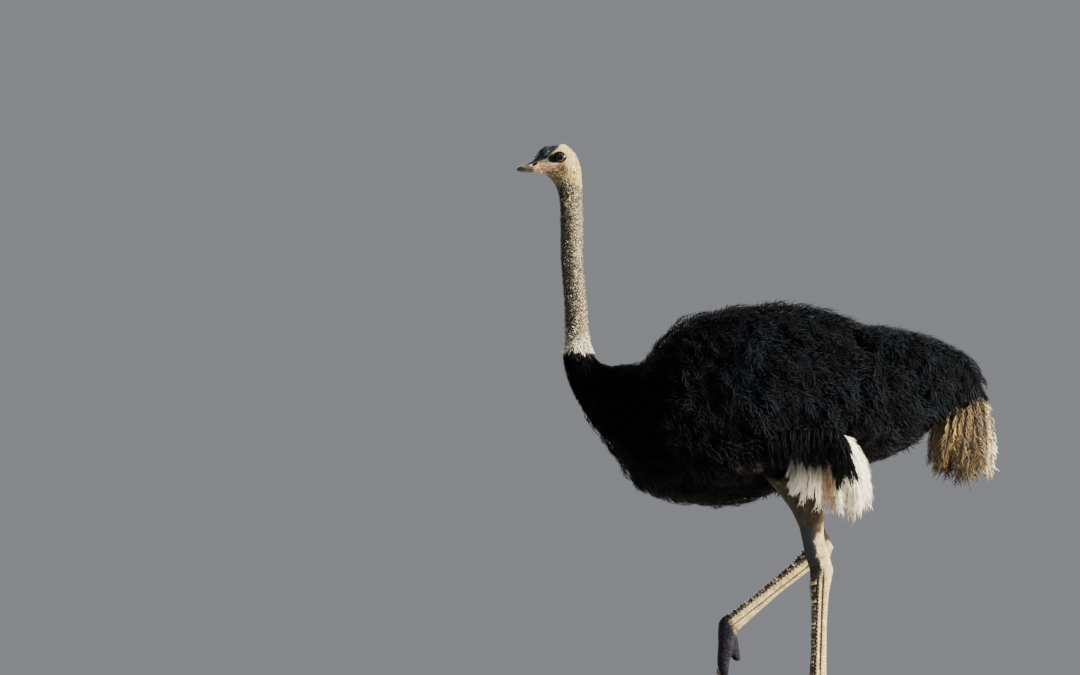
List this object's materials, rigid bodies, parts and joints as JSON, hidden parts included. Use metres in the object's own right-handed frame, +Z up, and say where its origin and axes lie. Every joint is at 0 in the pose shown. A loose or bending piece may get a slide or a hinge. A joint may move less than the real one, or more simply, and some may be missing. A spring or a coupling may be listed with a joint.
{
  "type": "ostrich",
  "caption": "Life-size cock ostrich in mid stride: shaggy black body, pale hanging quills and tail plumes, long downy grey neck, a lifted foot, on a plain flat base.",
  "frame": {"origin": "middle of the base's underside", "axes": "+Z up, the bird faces -X, its left side is at -Y"},
  "size_m": [1.594, 0.6172, 1.885],
  "materials": {
    "black_plumage": "soft loose feathers, dull black with a faint cool sheen",
    "white_quills": "soft white feathers, grey in their depth and stained tan at some tips",
    "tail_plumes": "worn feathers, dirty white to tan with dark brown gaps",
    "head_down": "bare skin under fine pale hairlike feathers",
    "neck_down": "grey skin stippled with short pale down",
    "bill_horn": "smooth horn, pink at the root and grey at the tip",
    "eye": "wet, very dark brown",
    "leg_skin": "dry scaly skin, cream to grey",
    "claw_horn": "dark worn horn",
    "stand_wood": "plain dark satin wood"
  },
  "bodies": {
    "root": {"bill_upper": "bill_horn", "bill_lower": "bill_horn", "head": "head_down", "left_eye": "eye", "right_eye": "eye", "neck_upper": "neck_down", "neck_middle": "neck_down", "neck_base": "black_plumage", "trunk": "black_plumage", "left_wing": "black_plumage", "right_wing": "black_plumage", "left_quills": "white_quills", "right_quills": "white_quills", "tail": "tail_plumes", "left_drumstick": "leg_skin", "left_tarsus": "leg_skin", "left_inner_toe": "leg_skin", "left_outer_toe": "leg_skin", "left_claw": "claw_horn", "right_drumstick": "leg_skin", "right_tarsus": "leg_skin", "right_inner_toe": "leg_skin", "right_outer_toe": "leg_skin", "right_claw": "claw_horn", "stand_base": "stand_wood"}
  },
  "joints": []
}
